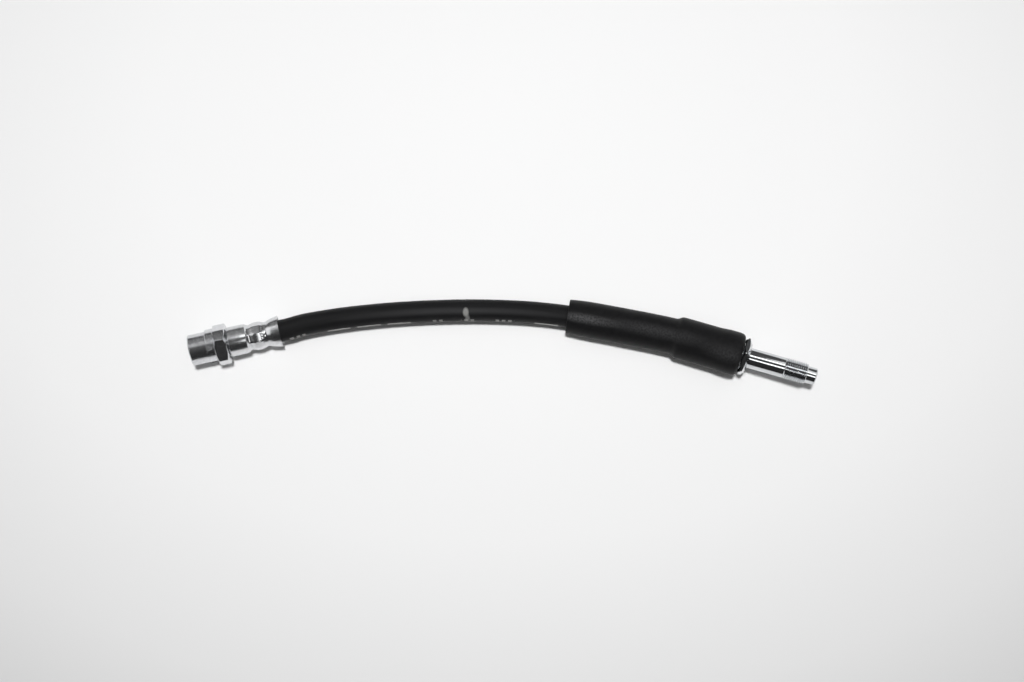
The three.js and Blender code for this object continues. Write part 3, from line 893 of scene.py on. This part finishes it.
# Floor: white paper, matt and plain, with a painted light falloff: brightest behind the hose and grey
# far out, in metres
FLOOR_RADIUS = 6.0
BRIGHTEST = (0, 0.11, 0)
SPREAD = (0.84, 1.1, 1)
DIMMEST_AT = 0.8
PAPER_AND_PAINTED_FALLOFF = [
    (0.0, "#fafafa"), (1.0, "#b4b4b4"), (0.175, "#f8f8f8"), (0.275, "#f2f2f2"),
    (0.375, "#e4e4e4"), (0.45, "#d2d2d2"), (0.5, "#c8c8c8"), (0.58, "#bebebe"), (0.75, "#b8b8b8"),
]
deselect()
bpy.ops.mesh.primitive_circle_add(vertices=96, radius=FLOOR_RADIUS, fill_type="NGON")
floor = bpy.context.object
floor.name = "studio_floor"
floor_material, tree, shader = new_material("white_paper")
place = add(tree, "ShaderNodeTexCoord").outputs["Object"]
spot = add(tree, "ShaderNodeVectorMath", {0: place, 1: BRIGHTEST}, operation="SUBTRACT").outputs[0]
spot = add(tree, "ShaderNodeVectorMath", {0: spot, 1: SPREAD}, operation="MULTIPLY").outputs[0]
reach = add(tree, "ShaderNodeVectorMath", {0: spot}, operation="LENGTH").outputs["Value"]
share = add(tree, "ShaderNodeMapRange", {0: reach, 1: 0.0, 2: DIMMEST_AT}).outputs[0]
# Painted light falloff: the paper's colour darkens outward from the bright spot.
paper_and_falloff = add(tree, "ShaderNodeValToRGB", {0: share}, PAPER_AND_PAINTED_FALLOFF).outputs[0]
tree.links.new(paper_and_falloff, shader.inputs["Base Color"])
shader.inputs["Roughness"].default_value = 0.9
shader.inputs["Specular IOR Level"].default_value = 0.0
floor.data.materials.append(floor_material)


def lamp(name, place, target, size, power, reflected):
    """A lamp in metres and watts. Either it only lights matt surfaces, or it is only reflected."""
    data = bpy.data.lights.new(name, "AREA")
    data.shape = "RECTANGLE"
    data.size, data.size_y = size
    data.energy = power
    light = bpy.data.objects.new(name, data)
    bpy.context.scene.collection.objects.link(light)
    light.location = place
    light.rotation_euler = (Vector(target) - Vector(place)).to_track_quat("-Z", "Y").to_euler()
    light.visible_camera = False
    light.visible_glossy = reflected
    light.visible_diffuse = not reflected


# The key stands nearly straight above and draws the narrow shadows.
KEY_DISTANCE = 1.5
key_angle = math.radians(2.5)
key_place = (0, KEY_DISTANCE * math.sin(key_angle), KEY_DISTANCE * math.cos(key_angle))
lamp("key", key_place, (0, 0, 0), (0.14, 0.14), 18.0, False)
lamp("fill", (0, 0, 2.0), (0, 0, 0), (2.4, 2.4), 7.6, False)
# The others are bright cards that the metal and the rubber mirror.
lamp("upper_strip", (0.3, 0.31, 1.15), (0.3, 0, 0.01), (1.0, 0.26), 2.1, True)
lamp("lower_strip", (0.3, -0.44, 1.12), (0.3, 0, 0.01), (0.6, 0.22), 1.1, True)
lamp("left_panel", (-0.5, 0.39, 1.15), (-0.5, 0, 0.01), (0.9, 0.62), 0.75, True)
lamp("left_wall", (-0.5, 1.05, 0.85), (-0.5, 0, 0.01), (1.2, 0.9), 0.6, True)
lamp("left_softbox", (-1.5, 0.1, 1.1), (-0.1, 0.1, 0.01), (1.8, 1.2), 7.0, True)
lamp("right_softbox", (1.2, 0.8, 1.0), (0.0, 0, 0.01), (0.9, 1.4), 4.0, True)

# World: a dim room, a little lighter on the side that the hose's bend points to
WALLS = [(0.0, "#2c2c2c"), (1.0, "#565656"), (0.3, "#343434"), (0.45, "#4e4e4e"), (0.65, "#5c5c5c")]
world = bpy.data.worlds.new("studio")
bpy.context.scene.world = world
world.use_nodes = True
tree = world.node_tree
direction = add(tree, "ShaderNodeTexCoord").outputs["Generated"]
parts = add(tree, "ShaderNodeSeparateXYZ", {0: direction})
lean = add(tree, "ShaderNodeMath", {0: parts.outputs["Y"], 1: parts.outputs["Z"]},
           operation="ARCTAN2").outputs[0]
share = add(tree, "ShaderNodeMapRange", {0: lean, 1: -math.pi / 2, 2: math.pi / 2}).outputs[0]
walls = add(tree, "ShaderNodeValToRGB", {0: share}, WALLS).outputs[0]
background = next(n for n in tree.nodes if n.type == "BACKGROUND")
tree.links.new(walls, background.inputs["Color"])
